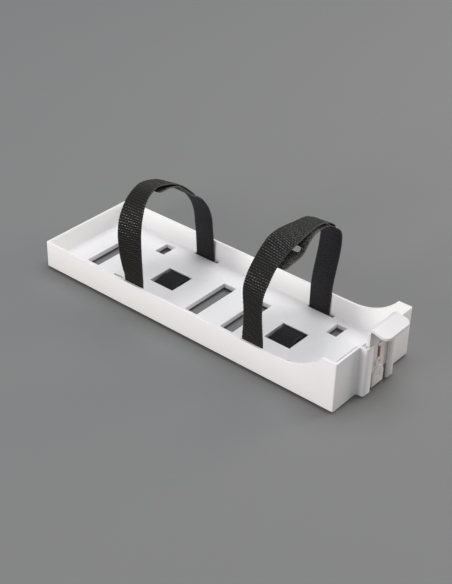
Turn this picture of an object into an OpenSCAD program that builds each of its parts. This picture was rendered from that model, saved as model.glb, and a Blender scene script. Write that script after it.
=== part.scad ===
// Battery tray with two hook-and-loop straps and a spring-loaded release latch.
// The origin is the middle of the underside. The latch end points to +X, and
// every size is in millimetres.

/* [Tray] */
// Length of the tray, without the latch
tray_l = 300; // [290:1:340]
// Width of the tray
tray_w = 98.5; // [94:0.5:120]
// Height of the long walls and of the back wall
side_h = 23.1; // [16:0.1:26]
// Height of the latch wall and of the two horns beside it
front_h = 42.6; // [40:0.1:50]
// Thickness of the walls
wall_t = 2; // [1.6:0.1:2.6]
// Thickness of the floor
floor_t = 4; // [3.4:0.1:6]
// Height of the pads that the tray stands on
pad_h = 2.5; // [1:0.1:4]
// Diameter of the corner pads
pad_d = 12; // [8:0.5:14]
// Radius of the upright corners, outside
corner_r = 1.3; // [0.5:0.1:3]
// Radius of the cove between the floor and the walls
cove_r = 2; // [0.5:0.1:4]
// Length of the flat top of each horn
horn_l = 12.5; // [8:0.5:20]
// Radius of the sweep that rises from the long wall to the horn
sweep_r = 51; // [40:1:60]

/* [Floor openings] */
// Length of the vent slots, across the tray
vent_l = 50; // [30:1:60]
// Width of the vent slots, along the tray
vent_w = 13; // [8:0.5:14]
// Distance from the back of the tray to the middle of the rear vent
rear_vent_in = 30.3; // [15:0.1:40]
// Distance from the latch end of the tray to the middle of the front vent
front_vent_in = 24.5; // [12:0.1:26]
// Position of the first middle vent along the tray
mid_vent_a_x = -8.6; // [-20:0.1:0]
// Position of the second middle vent along the tray
mid_vent_b_x = 28.5; // [16:0.1:36]
// Side of the square openings above the straps
window_w = 25; // [18:0.5:30]
// Length of the small corner holes, across the tray
hole_l = 15.5; // [8:0.5:20]
// Width of the small corner holes, along the tray
hole_w = 10; // [6:0.5:12]
// Distance of the small holes from the middle line
hole_y = 32.2; // [30:0.1:34]
// Position of the rear pair of small holes
rear_hole_x = -88.5; // [-96:0.5:-80]
// Position of the front pair of small holes
front_hole_x = 94.6; // [92:0.1:98]

/* [Straps] */
// Width of the webbing
strap_w = 20; // [12:0.5:21]
// Thickness of the webbing
strap_t = 1.3; // [0.8:0.1:1.5]
// Position of the rear strap along the tray
rear_strap_x = -52.5; // [-60:0.5:-40]
// Position of the front strap along the tray
front_strap_x = 69.5; // [62:0.1:71]
// Height of the top of the rear loop
rear_loop_h = 104.7; // [90:0.1:140]
// Height of the top of the front loop
front_loop_h = 101; // [90:0.5:140]
// Skew of the rear strap between its two legs
rear_skew = 1.9; // [0:0.1:2]
// Skew of the front strap between its two legs
front_skew = 2.2; // [0:0.1:2.4]
// Length of the strap slots in the floor
slot_l = 25.5; // [25:0.5:28]
// Width of the strap slots, measured out from the walls
slot_w = 3; // [2.6:0.1:4]
// Thickness of the floor over the straps
strap_roof = 1; // [0.8:0.05:1.1]
// Height by which the floor's strap channels clear the webbing
channel_gap = 0.4; // [0.3:0.05:0.6]
// Width of the slit near the free end of each strap
slit_w = 12; // [6:0.5:14]
// Opening of that slit along the strap
slit_l = 5; // [2:0.5:6]

/* [Latch guide] */
// Width over the two ears that hold the latch
ears_w = 40.4; // [38:0.1:50]
// Free width between the two lips of the ears
lips_gap = 23; // [20:0.1:26]
// Depth of the pocket behind the lips
pocket_d = 4.3; // [4.1:0.1:6]
// Thickness of the lips and flanks
ear_t = 2; // [1.5:0.1:2.4]
// Radius of the outer corner of each ear
ear_r = 2.2; // [1:0.1:2.8]
// Height of the underside of the peg that holds the spring's upper end
peg_z = 35.6; // [33:0.1:36.5]
// Thickness of that peg
peg_h = 2; // [1.5:0.1:2.4]

/* [Latch] */
// Clearance of the sliding latch in its guide
slide_gap = 0.3; // [0.2:0.05:0.5]
// Height of the lower edge of the sliding plate
plate_z = 13; // [8:0.5:16]
// Width of the finger cap
cap_w = 32; // [26:0.5:35]
// Height of the top of the finger cap
cap_h = 57.8; // [54:0.1:64]
// Reach of the finger cap in front of the latch wall
cap_l = 19.5; // [14:0.5:26]
// Thickness of the finger cap
cap_t = 2.2; // [1.6:0.1:2.8]
// Slope of the finger cap, in degrees
cap_slope = 12.6; // [5:0.1:18]
// Outer radius of the bend from the web to the cap
bend_r = 5; // [4:0.1:6]
// Radius of the two free corners of the cap
cap_corner_r = 5.5; // [3:0.1:8]
// Thickness of the upright web below the cap
web_t = 3.2; // [3:0.1:4]
// Distance of the web from the latch wall
web_in = 2; // [1.8:0.1:2.4]
// Width of the foot
foot_w = 14; // [10:0.5:20]
// Height of the lower edge of the foot
foot_z = 1; // [0.5:0.1:3]
// Height of the arched top of the foot
foot_top = 17; // [15:0.5:17.5]
// How far the foot stands out from the plate
foot_proud = 1.2; // [0.5:0.1:2]
// Width of the finger groove across the foot
groove_w = 5; // [3:0.5:8]
// Height of that groove's middle
groove_z = 8.6; // [6:0.1:9]
// Diameter of that groove
groove_d = 1.2; // [0.6:0.1:1.6]
// Width of the raised boss below the spring window
boss_w = 8.4; // [6:0.1:10]
// Height of the raised boss
boss_h = 6.6; // [5:0.1:7]
// How far the boss stands out
boss_proud = 1; // [0.4:0.1:1.6]
// Diameter of the hole in the boss
boss_hole_d = 2; // [1:0.1:3]

/* [Latch spring] */
// Outer diameter of the spring
spring_d = 3.2; // [2.6:0.1:3.6]
// Wire diameter of the spring
wire_d = 0.5; // [0.3:0.05:0.6]
// Turns of the spring between its two closed ends
spring_turns = 5; // [3:1:6]
// Height of the spring's lower seat, on top of the boss
seat_z = 25.2; // [25:0.1:27]
// Clearance of the spring in its slot, on each side
spring_gap = 0.5; // [0.3:0.05:0.8]

/* [Hidden] */
$fn = 64;
// Overshoot of a cutting tool past the face it cuts
over = 1;

// Half sizes of the tray
half_l = tray_l / 2;
half_w = tray_w / 2;
wall_in = half_w - wall_t;
// Start of the upward sweep on the long walls
rise = front_h - side_h;
sweep_x = half_l - horn_l - sqrt(2 * sweep_r * rise - rise * rise);
// Middles of the vent slots
vents_x = [rear_vent_in - half_l, mid_vent_a_x, mid_vent_b_x, half_l - front_vent_in];

// Latch guide
flank_in = ears_w / 2 - ear_t;
lip_in = half_l + pocket_d;
lip_out = lip_in + ear_t;
// Latch plate
plate_back = half_l + slide_gap;
plate_front = lip_in - slide_gap;
plate_top = front_h - over;
spring_slot = spring_d / 2 + spring_gap;
spring_slot_top = peg_z + peg_h + slide_gap;
head_z = front_h + slide_gap;
web_back = half_l + web_in;
web_front = web_back + web_t;
bend_x = web_back + bend_r;
bend_z = cap_h - bend_r;
cap_end = half_l + cap_l;
foot_front = plate_front + foot_proud;
boss_z = seat_z - boss_h / 2;

// Spring
coil_r = (spring_d - wire_d) / 2;
spring_x = plate_front + boss_proud - spring_gap / 2 - spring_d / 2;
spring_low = seat_z + wire_d / 4;
spring_high = peg_z - wire_d / 4;
ring_n = 8;
turn_n = 14;

// Straps: middle line of a leg, gap between two plies that lie on each other
leg_y = wall_in - channel_gap - strap_t / 2;
under_z = floor_t - strap_roof - channel_gap / 2 - strap_t / 2;
turn_r = 1.5 * strap_t;
bulge = 0.25 * strap_t;
slit_deep = 0.9 * strap_t;
path_steps = 4;

// Route of each loop above the walls, from the outer end over the top to the
// near slot: share of the leg distance, share of the free height, sideways shift
// as a share of the webbing's width, and turn about the path in degrees
rear_outer = [
    [0.4, 0.71, 0, 0], [0.24, 0.79, 0, -3], [0.08, 0.86, 0, -6], [-0.14, 0.935, 0, -8],
    [-0.39, 0.983, 0, -9], [-0.58, 1, 0, -10], [-0.71, 0.98, 0, -9], [-0.83, 0.94, 0, -6],
    [-0.92, 0.885, 0, 0], [-1, 0.8, 0, 8], [-1.05, 0.725, 0, 14], [-1.08, 0.63, 0, 18],
    [-1.09, 0.52, 0, 19], [-1.07, 0.33, 0, 15], [-1.03, 0.15, 0, 7], [-1, 0.03, 0, 1]
];
front_outer = [
    [0.98, 0.82, 0, 0], [0.88, 0.864, 0, -4], [0.67, 0.928, 0, -6], [0.44, 0.955, 0, -7],
    [0.26, 0.962, 0, -3], [0.04, 0.964, 0, 7], [-0.17, 0.959, 0, 17], [-0.385, 0.939, 0, 21],
    [-0.59, 0.882, 0, 12], [-0.735, 0.827, 0, 5], [-0.85, 0.763, 0, 5], [-0.93, 0.702, 0, 4],
    [-0.985, 0.62, -0.04, 0], [-1, 0.54, -0.07, -4], [-1, 0.45, -0.07, -6],
    [-0.99, 0.32, -0.06, -8], [-0.995, 0.15, -0.015, -5], [-1, 0.03, 0, 0]
];
// Route from the far slot up under the outer end to the free tail
rear_inner = [
    [0.97, 0.03, 0, 0], [0.94, 0.16, 0, 0], [0.905, 0.31, 0, 0], [0.81, 0.45, 0, 0],
    [0.655, 0.575, 0, 0], [0.53, 0.64, 0, 0], [0.385, 0.695, 0.01, 0],
    [0.215, 0.773, 0.02, -3], [0.055, 0.845, 0.03, -6], [-0.065, 0.893, 0.03, -6],
    [-0.26, 0.93, 0.03, -6], [-0.39, 0.936, 0.03, -6], [-0.53, 0.943, 0.03, -6]
];
front_inner = [
    [1, 0.03, 0.025, -4], [1.03, 0.15, 0.025, -5], [1.1, 0.31, 0.025, -5],
    [1.16, 0.45, 0.025, -5], [1.18, 0.59, 0.04, -4], [1.145, 0.69, 0.06, -3],
    [1.06, 0.76, 0.08, -2], [0.96, 0.796, 0.1, -2], [0.86, 0.844, 0.12, -4],
    [0.655, 0.907, 0.14, -6], [0.43, 0.932, 0.16, -7], [0.25, 0.938, 0.17, -3],
    [0.09, 0.905, 0.17, 3], [-0.045, 0.828, 0.17, 2], [-0.11, 0.803, 0.17, 0],
    [-0.22, 0.792, 0.17, 0], [-0.375, 0.787, 0.17, 0], [-0.565, 0.775, 0.17, 0]
];
// Place of the slit, counted in route points from the free tail
rear_slit_at = 4;
front_slit_at = 4;

// Points of a smooth curve through a list of route points
function blend4(a, b, c, d, t) =
    0.5 * (2 * b + (c - a) * t + (2 * a - 5 * b + 4 * c - d) * t * t
        + (3 * b - a - 3 * c + d) * t * t * t);
function smooth_path(p, steps) = concat(
    [for (i = [0 : len(p) - 2]) for (k = [0 : steps - 1])
        blend4(p[max(i - 1, 0)], p[i], p[i + 1], p[min(i + 2, len(p) - 1)], k / steps)],
    [p[len(p) - 1]]);

// Loop points in millimetres, as [shift along the tray, y, z, turn]
function loop_points(route, loop_h) = [for (r = route)
    [r[2] * strap_w, r[0] * leg_y, side_h + r[1] * (loop_h - strap_t / 2 - side_h), r[3]]];

// Route under the floor: down the near leg, round the slot's edge, across the
// channel with a slight bulge into the square opening, and up the far leg
function corner_turn(side, angles) = [for (a = angles)
    [0, side * (leg_y - turn_r + turn_r * cos(a)), under_z + turn_r - turn_r * sin(a), 0]];
under_route = concat(
    [[0, -leg_y, floor_t + 2 * turn_r, 0]],
    corner_turn(-1, [0 : 30 : 90]),
    [[0, -window_w, under_z, 0], [0, -window_w / 2, under_z, 0], [0, 0, under_z + bulge, 0],
     [0, window_w / 2, under_z, 0], [0, window_w, under_z, 0]],
    corner_turn(1, [90 : -30 : 0]),
    [[0, leg_y, floor_t + 2 * turn_r, 0]]);

// Whole path of a strap, skewed between its two legs
function strap_path(outer, inner, loop_h, skew) = [
    for (p = smooth_path(concat(loop_points(outer, loop_h), under_route,
        loop_points(inner, loop_h)), path_steps))
    [p[0] - skew * p[1] / leg_y, p[1], p[2], p[3]]];

// Unit direction of a path in the plane across the tray, at point i
function along(p, i) = let (
    a = p[max(i - 1, 0)], b = p[min(i + 1, len(p) - 1)],
    d = [b[1] - a[1], b[2] - a[2]]) d / norm(d);

// Rectangle with round corners, half sizes a and b
module round_rect(a, b, r) {
    square([2 * a, 2 * (b - r)], center = true);
    square([2 * (a - r), 2 * b], center = true);
    for (sx = [-1, 1], sy = [-1, 1])
        translate([sx * (a - r), sy * (b - r)]) circle(r = r);
}

// Space inside the tray: straight walls that end in a round cove at the floor
module cavity() {
    in_l = half_l - wall_t;
    cove_z = floor_t + cove_r;
    translate([0, 0, cove_z])
        linear_extrude(height = front_h) round_rect(in_l, wall_in, cove_r);
    translate([cove_r - in_l, cove_r - wall_in, floor_t])
        cube([2 * (in_l - cove_r), 2 * (wall_in - cove_r), cove_r + over]);
    for (s = [-1, 1]) {
        translate([0, s * (wall_in - cove_r), cove_z]) rotate([0, 90, 0])
            cylinder(r = cove_r, h = 2 * (in_l - cove_r), center = true);
        translate([s * (in_l - cove_r), 0, cove_z]) rotate([90, 0, 0])
            cylinder(r = cove_r, h = 2 * (wall_in - cove_r), center = true);
        for (t = [-1, 1])
            translate([s * (in_l - cove_r), t * (wall_in - cove_r), cove_z])
                sphere(r = cove_r);
    }
}

// Everything above the low walls, up to the sweep that leads to the horns
module side_relief() {
    translate([-half_l - over, -half_w - over, side_h])
        cube([half_l + over + sweep_x, tray_w + 2 * over, front_h]);
    translate([sweep_x, 0, side_h + sweep_r]) rotate([90, 0, 0])
        cylinder(r = sweep_r, h = tray_w + 2 * over, center = true, $fn = 160);
}

// One rectangular opening right through the floor
module floor_hole(x, y, l, w) {
    translate([x - l / 2, y - w / 2, -over]) cube([l, w, floor_t + cove_r + 2 * over]);
}

// Vents, square openings and small corner holes
module floor_openings() {
    for (x = vents_x) floor_hole(x, 0, vent_w, vent_l);
    for (x = [rear_strap_x, front_strap_x]) floor_hole(x, 0, window_w, window_w);
    for (x = [rear_hole_x, front_hole_x], s = [-1, 1])
        floor_hole(x, s * hole_y, hole_w, hole_l);
}

// Two slots along the walls and the channel under the floor for one strap
module strap_way(x) {
    for (s = [-1, 1])
        floor_hole(x, s * (wall_in - slot_w / 2), slot_l, slot_w);
    translate([x - slot_l / 2, -wall_in, -over])
        cube([slot_l, 2 * wall_in, over + floor_t - strap_roof]);
}

// Outline of one ear from above: flank, lip with a free end, and a round root
module ear_outline() {
    difference() {
        union() {
            translate([half_l, 0]) square([lip_out - half_l, ears_w / 2 - ear_r]);
            translate([half_l, 0]) square([lip_out - ear_r - half_l, ears_w / 2]);
            translate([lip_out - ear_r, ears_w / 2 - ear_r]) circle(r = ear_r);
            translate([half_l, 0]) square([ear_t, ears_w / 2 + ear_t]);
        }
        translate([half_l + ear_t, ears_w / 2 + ear_t]) circle(r = ear_t);
        translate([half_l, -over]) square([pocket_d, flank_in + over]);
        translate([half_l, -over]) square([lip_out, lips_gap / 2 + over]);
    }
}

module ear(side) {
    mirror([0, side < 0 ? 1 : 0, 0])
        linear_extrude(height = front_h) ear_outline();
}

// Peg of the latch wall that reaches through the plate and over the spring
module spring_peg() {
    from_x = half_l - wall_t / 2;
    translate([from_x, -spring_d / 2, peg_z])
        cube([spring_x + spring_d / 2 - from_x, spring_d, peg_h]);
}

// Pads that lift the tray: one near each corner and a bar between the middle vents
module pads() {
    for (sx = [-1, 1], sy = [-1, 1])
        translate([sx * (half_l - pad_d), sy * (half_w - pad_d), -pad_h])
            cylinder(d = pad_d, h = pad_h + floor_t / 2);
    translate([mid_vent_a_x + vent_w / 2 + over, -pad_d, -pad_h])
        cube([pad_d - 2 * over, 2 * pad_d, pad_h + floor_t / 2]);
}

module tray_body() {
    color("white") translate([0, 0, pad_h]) {
        difference() {
            linear_extrude(height = front_h) round_rect(half_l, half_w, corner_r);
            cavity();
            side_relief();
            floor_openings();
            for (x = [rear_strap_x, front_strap_x]) strap_way(x);
        }
        for (side = [-1, 1]) ear(side);
        spring_peg();
        pads();
    }
}

// Side outline of the latch head: web, bend and sloping finger cap
module head_outline() {
    under_r = bend_r - cap_t;
    far = 2 * cap_l;
    nx = sin(cap_slope);
    nz = cos(cap_slope);
    sink = bend_r / 500;
    inner_r = under_r / 2;
    // Middle of the round inside the bend, touching the web and the cap
    in_x = web_front + inner_r;
    in_z = bend_z + ((under_r - inner_r) - (in_x - bend_x) * nx) / nz;
    touch = [in_x + inner_r * nx, in_z + inner_r * nz];
    difference() {
        union() {
            translate([web_back, head_z]) square([bend_r, bend_z - head_z]);
            translate([bend_x, bend_z]) {
                circle(r = bend_r);
                rotate(-cap_slope) translate([0, -bend_r / 2])
                    square([far, bend_r * 3 / 2 - sink]);
            }
        }
        polygon([[web_front, in_z], [web_front, head_z - over],
            [bend_x + far, head_z - over], touch + far * [nz, -nx], touch]);
        translate([in_x, in_z]) circle(r = inner_r);
        translate([web_front, head_z - over]) square([bend_r, over]);
    }
}

// Outline of the cap from above, with its two free corners rounded
module cap_outline() {
    r = cap_corner_r;
    translate([web_back, -cap_w / 2]) square([cap_end - r - web_back, cap_w]);
    translate([web_back, r - cap_w / 2]) square([cap_end - web_back, cap_w - 2 * r]);
    for (s = [-1, 1])
        translate([cap_end - r, s * (cap_w / 2 - r)]) circle(r = r);
}

module latch_head() {
    intersection() {
        rotate([90, 0, 0])
            linear_extrude(height = cap_w + 2 * over, center = true) head_outline();
        translate([0, 0, head_z])
            linear_extrude(height = cap_h) cap_outline();
    }
}

// Foot seen from the front: straight sides under a round arch
module foot_outline() {
    r = foot_w / 2;
    translate([-r, foot_z]) square([foot_w, foot_top - r - foot_z]);
    translate([0, foot_top - r]) circle(r = r);
}

// Turns an outline drawn as seen from the front into a block from x0 to x1
module upright(x0, x1) {
    translate([x0, 0, 0]) rotate([90, 0, 90])
        linear_extrude(height = x1 - x0) children();
}

// Slot for the spring and the peg: straight sides that run into a point
module spring_slot_outline() {
    w = spring_slot;
    top = spring_slot_top;
    polygon([[-w, seat_z], [w, seat_z], [w, top], [0, top + w], [-w, top]]);
}

module latch_plate() {
    color("white") translate([0, 0, pad_h])
    difference() {
        union() {
            upright(plate_back, plate_front)
                translate([-flank_in + slide_gap, plate_z])
                    square([2 * (flank_in - slide_gap), plate_top - plate_z]);
            upright(web_back, plate_front)
                translate([-cap_w / 2, plate_top - over])
                    square([cap_w, head_z - plate_top + 2 * over]);
            latch_head();
            upright(plate_back, foot_front) foot_outline();
            upright(plate_front - over, plate_front + boss_proud)
                translate([0, boss_z]) round_rect(boss_w / 2, boss_h / 2, boss_hole_d);
        }
        upright(plate_back - over, plate_front + over) spring_slot_outline();
        upright(plate_front - over, plate_front + boss_proud + over)
            translate([0, boss_z]) circle(d = boss_hole_d);
        translate([foot_front, 0, groove_z]) rotate([90, 0, 0])
            cylinder(d = groove_d, h = groove_w, center = true);
    }
}

// Height of the spring's wire after a number of turns, with one closed turn
// at each end
function wire_z(turn) = let (
    low = spring_low + wire_d / 2, high = spring_high - wire_d / 2,
    pitch = (high - low - 2 * wire_d) / spring_turns)
    turn < 1 ? low + turn * wire_d
    : turn > 1 + spring_turns ? high - (2 + spring_turns - turn) * wire_d
    : low + wire_d + (turn - 1) * pitch;

module latch_spring() {
    rings = (spring_turns + 2) * turn_n;
    points = [for (i = [0 : rings]) let (a = 360 * i / turn_n)
        for (k = [0 : ring_n - 1]) let (
            b = 360 * k / ring_n, r = coil_r + wire_d / 2 * cos(b))
        [spring_x + r * cos(a), r * sin(a), wire_z(i / turn_n) + wire_d / 2 * sin(b)]];
    sides = [for (i = [0 : rings - 1], k = [0 : ring_n - 1]) let (
        a = i * ring_n + k, b = i * ring_n + (k + 1) % ring_n)
        each [[a, a + ring_n, b + ring_n], [a, b + ring_n, b]]];
    ends = [[for (k = [0 : ring_n - 1]) k],
        [for (k = [ring_n - 1 : -1 : 0]) rings * ring_n + k]];
    color("darkgoldenrod") translate([0, 0, pad_h]) polyhedron(points, concat(sides, ends));
}

// Directions across the width and through the thickness at point i of a path
function across(p, i) = let (d = along(p, i), a = p[i][3])
    [cos(a), -sin(a) * d[1], sin(a) * d[0]];
function inward(p, i) = let (d = along(p, i), a = p[i][3])
    [-sin(a), -cos(a) * d[1], cos(a) * d[0]];

// Flat webbing swept along a path
module ribbon(path) {
    n = len(path);
    points = [for (i = [0 : n - 1]) for (c = [[-1, -1], [1, -1], [1, 1], [-1, 1]])
        [path[i][0], path[i][1], path[i][2]]
            + c[0] * strap_w / 2 * across(path, i) + c[1] * strap_t / 2 * inward(path, i)];
    sides = [for (i = [0 : n - 2], k = [0 : 3]) let (
        a = 4 * i + k, b = 4 * i + (k + 1) % 4)
        each [[a, b, b + 4], [a, b + 4, a + 4]]];
    ends = [[3, 2, 1, 0], [4 * n - 4, 4 * n - 3, 4 * n - 2, 4 * n - 1]];
    polyhedron(points, concat(sides, ends));
}

// One strap with the slit near its free tail
module strap(x, path, slit_at) {
    i = len(path) - 1 - slit_at * path_steps;
    d = along(path, i);
    translate([x, 0, pad_h])
    color([0.12, 0.12, 0.12])
    difference() {
        ribbon(path);
        translate([path[i][0], path[i][1], path[i][2]])
            rotate([atan2(d[1], d[0]), 0, 0]) rotate([0, -path[i][3], 0])
            linear_extrude(height = 2 * slit_deep, center = true)
                round_rect(slit_w / 2, slit_l / 2, slit_l / 2 * 0.9);
    }
}

module rear_strap() {
    strap(rear_strap_x, strap_path(rear_outer, rear_inner, rear_loop_h, rear_skew),
        rear_slit_at);
}

module front_strap() {
    strap(front_strap_x, strap_path(front_outer, front_inner, front_loop_h, front_skew),
        front_slit_at);
}

tray_body();
latch_plate();
latch_spring();
rear_strap();
front_strap();
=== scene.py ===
# %% [markdown]
# # A battery tray with two straps and a release latch
# The tray is a long white moulding that holds one battery. Two black hook-and-loop
# straps come up through its floor and close over the battery, and a sprung latch on one
# end wall locks the tray in its seat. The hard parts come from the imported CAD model, so
# this lesson is about how moulded plastic and webbing look, and about making webbing.

# %% Load the frame
import math
import bmesh
import bpy
import numpy as np
from mathutils import Matrix, Vector


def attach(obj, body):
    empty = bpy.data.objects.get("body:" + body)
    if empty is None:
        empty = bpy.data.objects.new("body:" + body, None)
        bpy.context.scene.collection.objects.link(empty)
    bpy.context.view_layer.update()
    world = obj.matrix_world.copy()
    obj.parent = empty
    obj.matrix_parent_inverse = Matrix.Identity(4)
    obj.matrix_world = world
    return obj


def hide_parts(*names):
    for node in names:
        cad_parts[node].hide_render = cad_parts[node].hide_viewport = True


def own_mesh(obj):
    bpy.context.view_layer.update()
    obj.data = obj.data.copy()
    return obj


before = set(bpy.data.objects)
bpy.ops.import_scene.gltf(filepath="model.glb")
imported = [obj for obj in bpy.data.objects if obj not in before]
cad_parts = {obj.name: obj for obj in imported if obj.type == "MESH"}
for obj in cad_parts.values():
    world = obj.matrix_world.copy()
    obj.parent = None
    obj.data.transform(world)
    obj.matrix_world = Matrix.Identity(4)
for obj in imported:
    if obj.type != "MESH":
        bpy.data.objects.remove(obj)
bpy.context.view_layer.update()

MM = 0.001

# %% [markdown]
# ## The camera
# The picture was taken from above one corner, from about a metre away, so the long
# sides run together only a little. Setting the camera's matrix from three directions
# (right, up and back) is exact, where aiming it by a target would lose the small roll
# of a camera that was held by hand.

# %% Camera
CAMERA_AT = Vector((0.5265, -0.6343, 0.5598))
CAMERA_AZIMUTH, CAMERA_ELEVATION, CAMERA_ROLL = map(math.radians, (-50.69, 33.37, 1.46))
LENS_IN_FRAME_HEIGHTS = 1220.2 / 584
SENSOR_MM = 36
NEAREST = 0.01

back = Vector((math.cos(CAMERA_ELEVATION) * math.cos(CAMERA_AZIMUTH),
               math.cos(CAMERA_ELEVATION) * math.sin(CAMERA_AZIMUTH),
               math.sin(CAMERA_ELEVATION)))
level = Vector((-math.sin(CAMERA_AZIMUTH), math.cos(CAMERA_AZIMUTH), 0))
upright = back.cross(level)
right = math.cos(CAMERA_ROLL) * level + math.sin(CAMERA_ROLL) * upright
up = math.cos(CAMERA_ROLL) * upright - math.sin(CAMERA_ROLL) * level
turned = Matrix((right, up, back)).transposed().to_4x4()

camera_data = bpy.data.cameras.new("camera")
camera_data.sensor_fit = "VERTICAL"
camera_data.sensor_height = SENSOR_MM
camera_data.lens = SENSOR_MM * LENS_IN_FRAME_HEIGHTS
camera_data.clip_start = NEAREST
camera = bpy.data.objects.new("camera", camera_data)
camera.matrix_world = Matrix.Translation(CAMERA_AT) @ turned
bpy.context.scene.collection.objects.link(camera)
bpy.context.scene.camera = camera
print("lens", round(camera_data.lens, 2), "mm")

# %% [markdown]
# ## Helpers for node trees
# Materials here are small graphs of nodes. A few short functions keep them readable.
# One adds a node and fills its inputs, with a value or with a wire from another node.
# The others start a material or a group, blend two colours, stretch a value from one
# range to another, and press a height into the surface as a bump.

# %% Node helpers
def fill(tree, socket, value):
    if isinstance(value, bpy.types.NodeSocket):
        tree.links.new(value, socket)
    else:
        socket.default_value = value


def add_node(tree, kind, inputs=None, **settings):
    node = tree.nodes.new("ShaderNode" + kind)
    for name, value in settings.items():
        setattr(node, name, value)
    for name, value in (inputs or {}).items():
        fill(tree, node.inputs[name], value)
    return node


def new_material(name, **shader_inputs):
    material = bpy.data.materials.new(name)
    material.use_nodes = True
    tree = material.node_tree
    shader = tree.nodes["Principled BSDF"]
    for socket, value in shader_inputs.items():
        shader.inputs[socket.replace("_", " ")].default_value = value
    return material, tree, shader


def new_group(name, inputs, outputs):
    group = bpy.data.node_groups.new(name, "ShaderNodeTree")
    for direction, sockets in (("INPUT", inputs), ("OUTPUT", outputs)):
        for socket, start in sockets.items():
            names_kind = isinstance(start, str)
            kind = start if names_kind else "NodeSocketFloat"
            made = group.interface.new_socket(socket, in_out=direction, socket_type=kind)
            if not names_kind:
                made.default_value = start
    given = group.nodes.new("NodeGroupInput").outputs
    result = group.nodes.new("NodeGroupOutput").inputs
    return group, given, result


# %% Node helpers: colours, ranges and bumps
def mix_colour(tree, factor, first, second):
    mix = add_node(tree, "Mix", data_type="RGBA")
    for identifier, value in (("Factor_Float", factor), ("A_Color", first), ("B_Color", second)):
        fill(tree, next(s for s in mix.inputs if s.identifier == identifier), value)
    return next(s for s in mix.outputs if s.identifier == "Result_Color")


def stretch(tree, value, low, high, to_low=0.0, to_high=1.0):
    return add_node(tree, "MapRange", {
        "Value": value, "From Min": low, "From Max": high,
        "To Min": to_low, "To Max": to_high}).outputs["Result"]


def press_bump(tree, shader, height, strength, depth_mm):
    bump = add_node(tree, "Bump", {"Height": height, "Strength": strength,
                                   "Distance": depth_mm * MM})
    tree.links.new(bump.outputs["Normal"], shader.inputs["Normal"])


# %% [markdown]
# ## Studio floor and light
# The tray stands on a plain pale grey floor. A large soft lamp nearly overhead lights
# the floor of the tray and leaves the ground under it dark, and a second one low on the
# near side lights the long wall. The latch wall faces neither of them, so it stays in
# soft shade, where a weak warm lamp on the far side draws out the latch's round edges.
# The world fills the shade evenly. Large lamps give shadows with soft rims. The floor
# is so wide that its edge stays far away in low views.

# %% Floor
FLOOR_GREY = (0.21, 0.212, 0.208, 1)
FLOOR_HALF = 20
floor_material, _, _ = new_material("studio_floor", Base_Color=FLOOR_GREY, Roughness=0.9)
bm = bmesh.new()
bmesh.ops.create_grid(bm, x_segments=1, y_segments=1, size=FLOOR_HALF)
floor_mesh = bpy.data.meshes.new("studio_floor")
bm.to_mesh(floor_mesh)
bm.free()
studio_floor = bpy.data.objects.new("studio_floor", floor_mesh)
floor_mesh.materials.append(floor_material)
bpy.context.scene.collection.objects.link(studio_floor)
print("floor of", 2 * FLOOR_HALF, "m a side")

# %% Lamps and world
LAMPS_AIM = Vector((0, 0, 0.03))
LAMPS = [       # name, place, side of the square in metres, watts, colour
    ("top_softbox", (0.05, 0.55, 2.2), 1.9, 35, (0.94, 0.955, 1.0)),
    ("side_softbox", (-0.39, -2.21, 0.46), 0.85, 32, (1.0, 0.96, 0.93)),
    ("far_softbox", (0.74, 1.29, 0.4), 0.7, 9, (1.0, 0.88, 0.77))]
SKY_COLOUR = (0.94, 0.95, 1.0, 1)
SKY_STRENGTH = 0.38


def add_lamp(name, place, size, watts, colour):
    data = bpy.data.lights.new(name, "AREA")
    data.shape = "SQUARE"
    data.size, data.energy, data.color = size, watts, colour
    lamp = bpy.data.objects.new(name, data)
    facing = (LAMPS_AIM - Vector(place)).to_track_quat("-Z", "Y")
    lamp.matrix_world = Matrix.Translation(place) @ facing.to_matrix().to_4x4()
    bpy.context.scene.collection.objects.link(lamp)


for lamp in LAMPS:
    add_lamp(*lamp)
    print(lamp[0], lamp[3], "W")
world = bpy.data.worlds.new("studio")
world.use_nodes = True
sky = world.node_tree.nodes["Background"]
sky.inputs["Color"].default_value = SKY_COLOUR
sky.inputs["Strength"].default_value = SKY_STRENGTH
bpy.context.scene.world = world
bpy.context.scene.view_settings.view_transform = "Standard"

# %% [markdown]
# ## Moulded plastic
# The tray and the latch are injection mouldings in white plastic. Such a part is
# never one flat white: the mould's fine spark texture breaks up the highlight, the
# wall tone drifts a little where the plastic flowed, and edges that are handled turn
# smoother and slightly darker. Grain and edge wear are two node groups, because several
# materials share them: all of them use the grain, at their own scales, and the tray and
# the latch use the edge wear.

# %% Group: fine grain
def build_grain_group():
    group, given, result = new_group(
        "fine_grain",
        {"Position": "NodeSocketVector", "Grain Scale": 900.0, "Cloud Scale": 22.0},
        {"Grain": "NodeSocketFloat", "Cloud": "NodeSocketFloat"})
    for name, detail, roughness in (("Grain", 3.0, 0.6), ("Cloud", 4.0, 0.55)):
        noise = add_node(group, "TexNoise", {
            "Vector": given["Position"], "Scale": given[name + " Scale"],
            "Detail": detail, "Roughness": roughness})
        group.links.new(noise.outputs["Fac"], result[name])
    return group


def grain_of(tree, position, **scales):
    inputs = {name.replace("_", " "): scale for name, scale in scales.items()}
    return add_node(tree, "Group", {"Position": position, **inputs}, node_tree=GRAIN).outputs


GRAIN = build_grain_group()
print("group", GRAIN.name)

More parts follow.
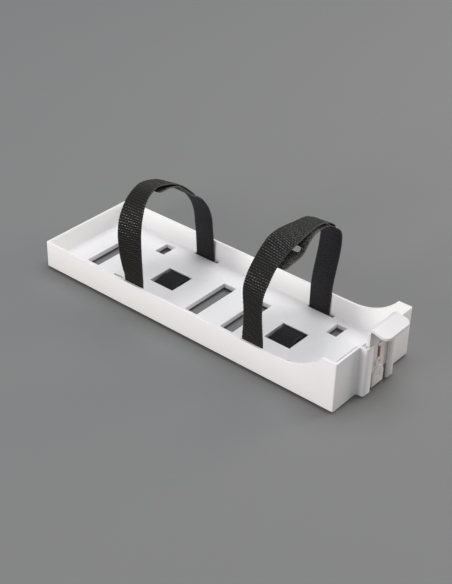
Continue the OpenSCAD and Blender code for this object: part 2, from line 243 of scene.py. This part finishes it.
# %% Group: worn edges
def build_edge_group():
    group, given, result = new_group(
        "worn_edges",
        {"Noise": 0.5, "Start": 0.52, "End": 0.6},
        {"Wear": "NodeSocketFloat"})
    pointiness = add_node(group, "NewGeometry").outputs["Pointiness"]
    edge = stretch(group, pointiness, given["Start"], given["End"])
    broken = add_node(group, "Math", {0: edge, 1: given["Noise"]}, operation="MULTIPLY")
    group.links.new(broken.outputs["Value"], result["Wear"])
    return group


WORN_EDGES = build_edge_group()
print("group", WORN_EDGES.name)

# %% Materials: moulded white plastic
NOISE_LOW, NOISE_HIGH = 0.3, 0.7
PLASTIC_ROUGHNESS = 0.36, 0.5


def moulded_plastic(name, light, dark, worn, grain_scale, bump_mm):
    material, tree, shader = new_material(name, IOR=1.49, Specular_IOR_Level=0.45)
    grain = grain_of(tree, add_node(tree, "TexCoord").outputs["Object"], Grain_Scale=grain_scale)
    wear = add_node(tree, "Group", {"Noise": grain["Cloud"]}, node_tree=WORN_EDGES).outputs["Wear"]
    drift = stretch(tree, grain["Cloud"], NOISE_LOW, NOISE_HIGH)
    colour = mix_colour(tree, wear, mix_colour(tree, drift, light, dark), worn)
    tree.links.new(colour, shader.inputs["Base Color"])
    roughness = stretch(tree, grain["Grain"], NOISE_LOW, NOISE_HIGH, *PLASTIC_ROUGHNESS)
    tree.links.new(roughness, shader.inputs["Roughness"])
    press_bump(tree, shader, grain["Grain"], strength=0.35, depth_mm=bump_mm)
    return material


TRAY_PLASTIC = moulded_plastic(
    "tray_white_plastic",
    light=(0.895, 0.89, 0.885, 1), dark=(0.875, 0.87, 0.865, 1), worn=(0.84, 0.83, 0.82, 1),
    grain_scale=1100, bump_mm=0.04)
# Painted shade: the latch is the same white plastic as the tray, given a colour about a tenth
# darker and a little warmer, so that its lit cap top reads no brighter than the tray floor.
LATCH_PLASTIC_PAINTED_SHADE = moulded_plastic(
    "latch_white_plastic_painted_shade",
    light=(0.8, 0.785, 0.78, 1), dark=(0.78, 0.765, 0.755, 1), worn=(0.72, 0.7, 0.68, 1),
    grain_scale=1400, bump_mm=0.03)
print("materials", TRAY_PLASTIC.name, "and", LATCH_PLASTIC_PAINTED_SHADE.name)

# %% [markdown]
# ## Tray and latch with broken edges
# A mould never leaves a knife edge: every rim of the real tray has a small radius that
# catches a thin line of light. The CAD solids have sharp rims, so each one is copied,
# its loose triangles are merged, and a Bevel modifier rounds every edge that turns
# more than 35 degrees. The copy replaces the CAD node in the picture only.

# %% Helpers: merged copy of a CAD node, and a piece on its body
MERGE_MM = 0.002


def merged_copy(node):
    bm = bmesh.new()
    bm.from_mesh(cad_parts[node].data)
    bmesh.ops.remove_doubles(bm, verts=bm.verts, dist=MERGE_MM * MM)
    mesh = bpy.data.meshes.new(node + "_moulding")
    for face in bm.faces:
        face.smooth = True
    bm.to_mesh(mesh)
    bm.free()
    return mesh


def link_piece(name, mesh, body, material):
    piece = bpy.data.objects.new(name, mesh)
    bpy.context.scene.collection.objects.link(piece)
    mesh.materials.clear()
    mesh.materials.append(material)
    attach(piece, body)
    print(name, len(mesh.polygons), "faces")
    return piece


# %% Helper: rounded edges
EDGE_TURN = math.radians(35)
EDGE_SEGMENTS = 3


def round_edges(piece, width_mm):
    bevel = piece.modifiers.new("rounded_edges", "BEVEL")
    bevel.limit_method = "ANGLE"
    bevel.angle_limit = EDGE_TURN
    bevel.width = width_mm * MM
    bevel.segments = EDGE_SEGMENTS
    bevel.use_clamp_overlap = True
    bevel.miter_outer = "MITER_ARC"
    bevel.harden_normals = True


# %% Tray body and latch plate
tray = link_piece("tray_moulding", merged_copy("tray_body"), "tray", TRAY_PLASTIC)
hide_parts("tray_body")
round_edges(tray, width_mm=0.45)

latch = link_piece("latch_moulding", merged_copy("latch_plate"), "latch",
                   LATCH_PLASTIC_PAINTED_SHADE)
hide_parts("latch_plate")
round_edges(latch, width_mm=0.35)

# %% [markdown]
# ## Latch spring
# A small coil of phosphor bronze wire pushes the latch down. It is thin enough that
# colour and gloss do the work: a metallic shader, tinted by a slow noise, because drawn
# bronze tarnishes unevenly.

# %% Spring
BRONZE_BRIGHT, BRONZE_DULL = (0.78, 0.42, 0.2, 1), (0.42, 0.2, 0.1, 1)
BRONZE_ROUGHNESS = 0.22, 0.5


def spring_metal():
    material, tree, shader = new_material("spring_bronze", Metallic=1.0)
    grain = grain_of(tree, add_node(tree, "TexCoord").outputs["Object"],
                     Grain_Scale=4000.0, Cloud_Scale=500.0)
    colour = mix_colour(tree, grain["Cloud"], BRONZE_BRIGHT, BRONZE_DULL)
    tree.links.new(colour, shader.inputs["Base Color"])
    roughness = stretch(tree, grain["Grain"], 0.0, 1.0, *BRONZE_ROUGHNESS)
    tree.links.new(roughness, shader.inputs["Roughness"])
    return material


spring = link_piece("spring_coil", merged_copy("latch_spring"), "tray",
                    spring_metal())
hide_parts("latch_spring")
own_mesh(spring)

# %% [markdown]
# ## The straps' routes
# Webbing is a flat band that bends easily one way and hardly the other, so it follows
# a line in the plane across the tray, with a slight twist. The line is a smooth curve
# through listed points: a share of the distance to the leg, a share of the free
# height above the walls, a sideways shift as a share of the band's width, and a twist in
# degrees. The numbers are those of the CAD straps, so the bands lie in the same space.

# %% Route points
LEG_Y, SIDE_H, FLOOR_T, STRAP_T, STRAP_W = 46.2, 23.1, 4.0, 1.3, 20.0
PAD_H, UNDER_Z, TURN_R, BULGE, WINDOW_W = 2.5, 2.15, 1.95, 1.7, 25.0
REAR = {
    "x": -52.5, "height": 104.7, "skew": 1.9, "outer": [
        (0.4, 0.71, 0, 0), (0.24, 0.79, 0, -3), (0.08, 0.86, 0, -6), (-0.14, 0.935, 0, -8),
        (-0.39, 0.983, 0, -9), (-0.58, 1, 0, -10), (-0.71, 0.98, 0, -9), (-0.83, 0.94, 0, -6),
        (-0.92, 0.885, 0, 0), (-1, 0.8, 0, 8), (-1.05, 0.725, 0, 14), (-1.08, 0.63, 0, 18),
        (-1.09, 0.52, 0, 19), (-1.07, 0.33, 0, 15), (-1.03, 0.15, 0, 7), (-1, 0.03, 0, 1)],
    "inner": [
        (0.97, 0.03, 0, 0), (0.94, 0.16, 0, 0), (0.905, 0.31, 0, 0), (0.81, 0.45, 0, 0),
        (0.655, 0.575, 0, 0), (0.53, 0.64, 0, 0), (0.385, 0.695, 0.01, 0),
        (0.215, 0.773, 0.02, -3), (0.055, 0.845, 0.03, -6), (-0.065, 0.893, 0.03, -6),
        (-0.26, 0.93, 0.03, -6), (-0.39, 0.936, 0.03, -6), (-0.53, 0.943, 0.03, -6)]}
FRONT = {
    "x": 69.5, "height": 101.0, "skew": 2.2, "outer": [
        (0.98, 0.82, 0, 0), (0.88, 0.864, 0, -4), (0.67, 0.928, 0, -6), (0.44, 0.955, 0, -7),
        (0.26, 0.962, 0, -3), (0.04, 0.964, 0, 7), (-0.17, 0.959, 0, 17), (-0.385, 0.939, 0, 21),
        (-0.59, 0.882, 0, 12), (-0.735, 0.827, 0, 5), (-0.85, 0.763, 0, 5), (-0.93, 0.702, 0, 4),
        (-0.985, 0.62, -0.04, 0), (-1, 0.54, -0.07, -4), (-1, 0.45, -0.07, -6),
        (-0.99, 0.32, -0.06, -8), (-0.995, 0.15, -0.015, -5), (-1, 0.03, 0, 0)],
    "inner": [
        (1, 0.03, 0.025, -4), (1.03, 0.15, 0.025, -5), (1.1, 0.31, 0.025, -5),
        (1.16, 0.45, 0.025, -5), (1.18, 0.59, 0.04, -4), (1.145, 0.69, 0.06, -3),
        (1.06, 0.76, 0.08, -2), (0.96, 0.796, 0.1, -2), (0.86, 0.844, 0.12, -4),
        (0.655, 0.907, 0.14, -6), (0.43, 0.932, 0.16, -7), (0.25, 0.938, 0.17, -3),
        (0.09, 0.905, 0.17, 3), (-0.045, 0.828, 0.17, 2), (-0.11, 0.803, 0.17, 0),
        (-0.22, 0.792, 0.17, 0), (-0.375, 0.787, 0.17, 0), (-0.565, 0.775, 0.17, 0)]}

# %% From the shares to millimetres
def loop_points(points, height):
    return [(shift * STRAP_W, y * LEG_Y, SIDE_H + z * (height - STRAP_T / 2 - SIDE_H), twist)
            for y, z, shift, twist in points]


def slot_corner(side, angles):
    return [(0, side * (LEG_Y - TURN_R + TURN_R * math.cos(math.radians(a))),
             UNDER_Z + TURN_R - TURN_R * math.sin(math.radians(a)), 0) for a in angles]


def under_floor():
    flat = [(0, share * WINDOW_W, UNDER_Z + (BULGE if share == 0 else 0), 0)
            for share in (-1, -0.5, 0, 0.5, 1)]
    leg = FLOOR_T + 2 * TURN_R
    return ([(0, -LEG_Y, leg, 0)] + slot_corner(-1, (0, 30, 60, 90)) + flat
            + slot_corner(1, (90, 60, 30, 0)) + [(0, LEG_Y, leg, 0)])


# %% The smooth line through the points
LINE_STEPS = 12


def smooth_line(points):
    p = np.array([points[0]] + points + [points[-1]], float)
    line = []
    for a, b, c, d in zip(p, p[1:], p[2:], p[3:]):
        for t in np.arange(LINE_STEPS) / LINE_STEPS:
            line.append(0.5 * (2 * b + (c - a) * t + (2 * a - 5 * b + 4 * c - d) * t * t
                               + (3 * b - a - 3 * c + d) * t ** 3))
    return np.array(line + [p[-2]])


def strap_line(strap):
    line = smooth_line(loop_points(strap["outer"], strap["height"]) + under_floor()
                       + loop_points(strap["inner"], strap["height"]))
    line[:, 0] += strap["x"] - strap["skew"] * line[:, 1] / LEG_Y
    line[:, 2] += PAD_H
    steps = np.linalg.norm(np.diff(line[:, 1:3], axis=0), axis=1)
    return line, np.concatenate(([0], np.cumsum(steps)))


for title, strap in (("rear", REAR), ("front", FRONT)):
    strap["line"], strap["length"] = strap_line(strap)
    print(title, "strap flat length", round(strap["length"][-1], 1), "mm")

# %% [markdown]
# ## Hook-and-loop webbing
# One face of the webbing carries rows of stiff little hooks on cross ribs, and the
# other is a felt of soft loops. A bump map alone would look flat on the rim and in the
# strap's outline, so the ribs are real: a fine grid is made flat, extruded to the
# webbing's thickness, and its hook face is sunk between the ribs, row by row. At both
# ends the ribs fade into a short fluffy pile, which is on both faces. Each vertex keeps
# what it is (hook side, height, pile, rim) for the material.

# %% Flat band
STEP_ALONG = 0.3
STEPS_ACROSS = 32


def flat_band(length_mm):
    bm = bmesh.new()
    layers = {n: bm.verts.layers.float.new(n) for n in ("hook_side", "height", "pile", "rim")}
    rows = round(length_mm / STEP_ALONG)
    bmesh.ops.create_grid(bm, x_segments=STEPS_ACROSS, y_segments=rows, size=0.5)
    bmesh.ops.scale(bm, vec=(STRAP_W, length_mm, 1), verts=bm.verts)
    bmesh.ops.translate(bm, vec=(0, length_mm / 2, -STRAP_T / 2), verts=bm.verts)
    made = bmesh.ops.extrude_face_region(bm, geom=bm.faces[:])
    hook_face = [v for v in made["geom"] if isinstance(v, bmesh.types.BMVert)]
    bmesh.ops.translate(bm, vec=(0, 0, STRAP_T), verts=hook_face)
    for vertex in hook_face:
        vertex[layers["hook_side"]] = 1
    bmesh.ops.recalc_face_normals(bm, faces=bm.faces)
    return bm, hook_face, layers


# %% [markdown]
# ## Ribs, hooks and pile
# Along the band a wave gives the ribs, and across it a second wave cuts each rib into
# hooks. Each row's hooks are shifted by half a pitch from the row before. Real weaving
# is uneven, so the shift and the height vary a little from row to row as well.

# %% Height of the hook face
RIB_PITCH = 2.1
HOOK_PITCH = 2.5
ROW_SHIFT = 0.8
PILE_HEIGHT = 0.6


def relief(across, along, pile):
    row = np.floor(along / RIB_PITCH + 0.5)
    ridge = np.clip(0.5 + 0.9 * np.cos(2 * np.pi * along / RIB_PITCH), 0, 1)
    shift = np.pi * row + ROW_SHIFT * np.sin(2.7 * row)
    beads = np.cos(2 * np.pi * across / HOOK_PITCH + shift)
    uneven = 0.85 + 0.15 * np.sin(1.9 * row + 0.45 * across)
    weave = ridge * uneven * np.clip(1.45 + 1.2 * beads, 0.25, 1)
    fluff = (0.5 + 0.25 * np.sin(5.1 * across + 2.3 * along)
             + 0.25 * np.sin(7.7 * along - 3.1 * across))
    return (1 - pile) * weave + pile * PILE_HEIGHT * fluff


# %% Pile at the ends, and the pressed ribs
RIB_HEIGHT = 0.28
OUTER_PILE = 62
# Painted light and shade on the pile: the outer end, high on the lit crest, gets only this share
# of the pile and its pale specks, and the tail, which hangs in shade, gets all of it.
OUTER_PILE_SHARE = 0.35
TAIL_PILE = 55
PILE_FADE = 12


def mark_pile(bm, layers, length_mm):
    for vertex in bm.verts:
        along = vertex.co.y
        vertex[layers["pile"]] = min(1, max(
            0.0, (along - length_mm + TAIL_PILE) / PILE_FADE,
            OUTER_PILE_SHARE * min(1, (OUTER_PILE - along) / PILE_FADE)))


def press_ribs(hook_face, layers):
    for vertex in hook_face:
        height = relief(vertex.co.x, vertex.co.y, vertex[layers["pile"]])
        vertex[layers["height"]] = height
        vertex.co.z -= RIB_HEIGHT * (1 - height)


# %% Thin notched rims and a round tail
EDGE_ROUND = 0.9
EDGE_DROP = 0.32
EDGE_NOTCH = 0.12
BARE_RIM = 0.3
TAIL_ROUND = 2.5


def shape_rims(bm, layers, length_mm):
    for vertex in bm.verts:
        across, along = vertex.co.x, vertex.co.y
        edge = min(1, (STRAP_W / 2 - abs(across)) / EDGE_ROUND)
        # The rim value marks where the edge is painted grey: partly a paler woven edge, partly a
        # painted highlight, full at the pile ends.
        vertex[layers["rim"]] = (1 - edge) * (BARE_RIM + (1 - BARE_RIM) * vertex[layers["pile"]])
        drop = EDGE_DROP * (1 - math.sqrt(edge * (2 - edge)))
        vertex.co.z -= math.copysign(drop, vertex.co.z)
        tail = max(0, TAIL_ROUND - (length_mm - along))
        narrow = TAIL_ROUND - math.sqrt(TAIL_ROUND ** 2 - tail ** 2)
        notch = EDGE_NOTCH * (1 - edge) * math.cos(2 * math.pi * along / RIB_PITCH)
        vertex.co.x *= 1 - (narrow + notch) / (STRAP_W / 2)


# %% [markdown]
# ## A slit near the tail
# Each strap has a short slit with rounded corners near its tail. A Boolean cuts it while
# the band is still flat. The cutter is a block whose upright edges are rounded, and it
# is removed once the cut is made.

# %% Slit
SLIT_W, SLIT_L, SLIT_ROUND = 12.0, 5.0, 2.2
SLIT_SEGMENTS = 6


def slit_cutter(at_mm):
    bm = bmesh.new()
    bmesh.ops.create_cube(bm, size=1)
    bmesh.ops.scale(bm, vec=(SLIT_W, SLIT_L, 4 * STRAP_T), verts=bm.verts)
    corners = [e for e in bm.edges if abs((e.verts[0].co - e.verts[1].co).z) > STRAP_T]
    bmesh.ops.bevel(bm, geom=corners, offset=SLIT_ROUND, affect="EDGES",
                    segments=SLIT_SEGMENTS, profile=0.5, material=-1)
    bmesh.ops.translate(bm, vec=(0, at_mm, 0), verts=bm.verts)
    mesh = bpy.data.meshes.new("slit_cutter")
    bm.to_mesh(mesh)
    bm.free()
    return bpy.data.objects.new("slit_cutter", mesh)


def cut_slit(mesh, at_mm):
    cutter = slit_cutter(at_mm)
    band = bpy.data.objects.new("band", mesh)
    for thing in (cutter, band):
        bpy.context.scene.collection.objects.link(thing)
    cut = band.modifiers.new("slit", "BOOLEAN")
    cut.operation, cut.object, cut.solver = "DIFFERENCE", cutter, "EXACT"
    graph = bpy.context.evaluated_depsgraph_get()
    slitted = bpy.data.meshes.new_from_object(band.evaluated_get(graph))
    for thing in (cutter, band):
        bpy.data.objects.remove(thing)
    return slitted


# %% [markdown]
# ## Bending the band along its line
# Each vertex is moved by its own flat coordinates: its length along the band picks a
# place on the line, and its other two coordinates are laid off there, to the side and
# outwards. The side is counted backwards, because the three directions would otherwise
# mirror the band and turn its faces inside out. The flat coordinates are first kept as
# a UV map, which the pattern of the cloth follows.

# %% Bending
def keep_flat_coordinates(mesh):
    uv = mesh.uv_layers.new(name="webbing")
    for loop, corner in zip(mesh.loops, uv.data):
        place = mesh.vertices[loop.vertex_index].co
        corner.uv = (place.x, place.y)


def bend(mesh, strap):
    line, length = strap["line"], strap["length"]
    co = np.zeros(len(mesh.vertices) * 3)
    mesh.vertices.foreach_get("co", co)
    co = co.reshape(-1, 3)
    along = np.clip(co[:, 1], 0, length[-1])
    slope = np.gradient(line, length, axis=0)
    x, y, z, twist = (np.interp(along, length, line[:, k]) for k in range(4))
    dy, dz = (np.interp(along, length, slope[:, k]) for k in (1, 2))
    scale = np.hypot(dy, dz)
    dy, dz, twist = dy / scale, dz / scale, np.radians(twist)
    side = np.stack([np.cos(twist), -np.sin(twist) * dz, np.sin(twist) * dy], 1)
    outward = np.stack([np.sin(twist), np.cos(twist) * dz, -np.cos(twist) * dy], 1)
    bent = np.stack([x, y, z], 1) - side * co[:, :1] + outward * co[:, 2:]
    mesh.vertices.foreach_set("co", (bent * MM).ravel())


# %% [markdown]
# ## Webbing material
# The yarn is dyed black. Hooks are stiff and a little shiny, so the ridges glint, while
# the loop face scatters light like felt. The sunk grooves between the ribs are coloured
# darker: painted shade. The pile at the ends is speckled with paler fibres, and its specks
# are made bright; the tail, which hangs in shade, gets the full pile, while the lit outer end
# gets about a third: partly fibres, partly painted light and shade. The rims are painted
# grey: partly a paler woven edge, partly a painted highlight. Everything reads the band's
# own flat coordinates or the values kept at its vertices, so the pattern follows every bend.

# %% Material: webbing
FELT_DARK, FELT_PALE = (0.006, 0.006, 0.0075, 1), (0.026, 0.026, 0.03, 1)
# The grooves' darker colour is painted shade.
WEAVE_GROOVE_PAINTED_SHADE, WEAVE_RIDGE = (0.004, 0.004, 0.003, 1), (0.010, 0.009, 0.007, 1)
# The pale specks are partly the pile's paler fibres and partly painted light, made bright to lift
# the tail that hangs in shade.
PILE_DARK, PILE_PALE_AND_PAINTED_LIGHT = (0.010, 0.010, 0.009, 1), (0.2, 0.196, 0.18, 1)
# The rims' grey is partly a paler woven edge and partly a painted highlight along the band's
# edges.
RIM_GREY_AND_PAINTED_HIGHLIGHT = (0.13, 0.125, 0.11, 1)
CLOTH_ROUGHNESS = 1.0, 0.24


def webbing_material():
    material, tree, shader = new_material("black_hook_and_loop", IOR=1.5, Specular_IOR_Level=0.5)
    flat = add_node(tree, "UVMap", uv_map="webbing").outputs["UV"]
    hooks, height, pile, rim = (add_node(tree, "Attribute", attribute_name=name).outputs["Fac"]
                                for name in ("hook_side", "height", "pile", "rim"))
    grain = grain_of(tree, flat, Grain_Scale=0.95, Cloud_Scale=0.12)
    speck = stretch(tree, grain["Grain"], 0.5, 0.62)
    ridge = stretch(tree, height, 0.4, 0.85)
    felt = mix_colour(tree, speck, FELT_DARK, FELT_PALE)
    # Painted shade: the sunk grooves between the ribs take the darker colour.
    weave = mix_colour(tree, ridge, WEAVE_GROOVE_PAINTED_SHADE, WEAVE_RIDGE)
    # Partly pale fibres, partly painted light on the shaded tail.
    fluff = mix_colour(tree, speck, PILE_DARK, PILE_PALE_AND_PAINTED_LIGHT)
    cloth = mix_colour(tree, pile, mix_colour(tree, hooks, felt, weave), fluff)
    # The grey rim: partly a paler woven edge, partly a painted highlight.
    tree.links.new(mix_colour(tree, rim, cloth, RIM_GREY_AND_PAINTED_HIGHLIGHT), shader.inputs["Base Color"])
    gloss = add_node(tree, "Math", {0: ridge, 1: hooks}, operation="MULTIPLY").outputs["Value"]
    tree.links.new(stretch(tree, gloss, 0.0, 1.0, *CLOTH_ROUGHNESS), shader.inputs["Roughness"])
    press_bump(tree, shader, grain["Grain"], strength=0.4, depth_mm=0.12)
    return material


WEBBING = webbing_material()
print("material", WEBBING.name)

# %% [markdown]
# ## Both straps
# The two straps are the same webbing cut to two lengths, so one function makes both:
# flat band, pile, ribs, rims, slit, and the bend last. The middle of the slit lies four
# route points before the end of the tail.

# %% Both straps
SLIT_POINTS_FROM_END = 4


def slit_place(strap):
    return strap["length"][len(strap["line"]) - 1 - SLIT_POINTS_FROM_END * LINE_STEPS]


def make_strap(name, node, strap):
    total = strap["length"][-1]
    bm, hook_face, layers = flat_band(total)
    mark_pile(bm, layers, total)
    press_ribs(hook_face, layers)
    shape_rims(bm, layers, total)
    mesh = bpy.data.meshes.new(name)
    bm.to_mesh(mesh)
    bm.free()
    mesh = cut_slit(mesh, slit_place(strap))
    mesh.name = name
    keep_flat_coordinates(mesh)
    bend(mesh, strap)
    mesh.polygons.foreach_set("use_smooth", [True] * len(mesh.polygons))
    piece = link_piece(name, mesh, "tray", WEBBING)
    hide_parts(node)


make_strap("rear_webbing", "rear_strap", REAR)
make_strap("front_webbing", "front_strap", FRONT)
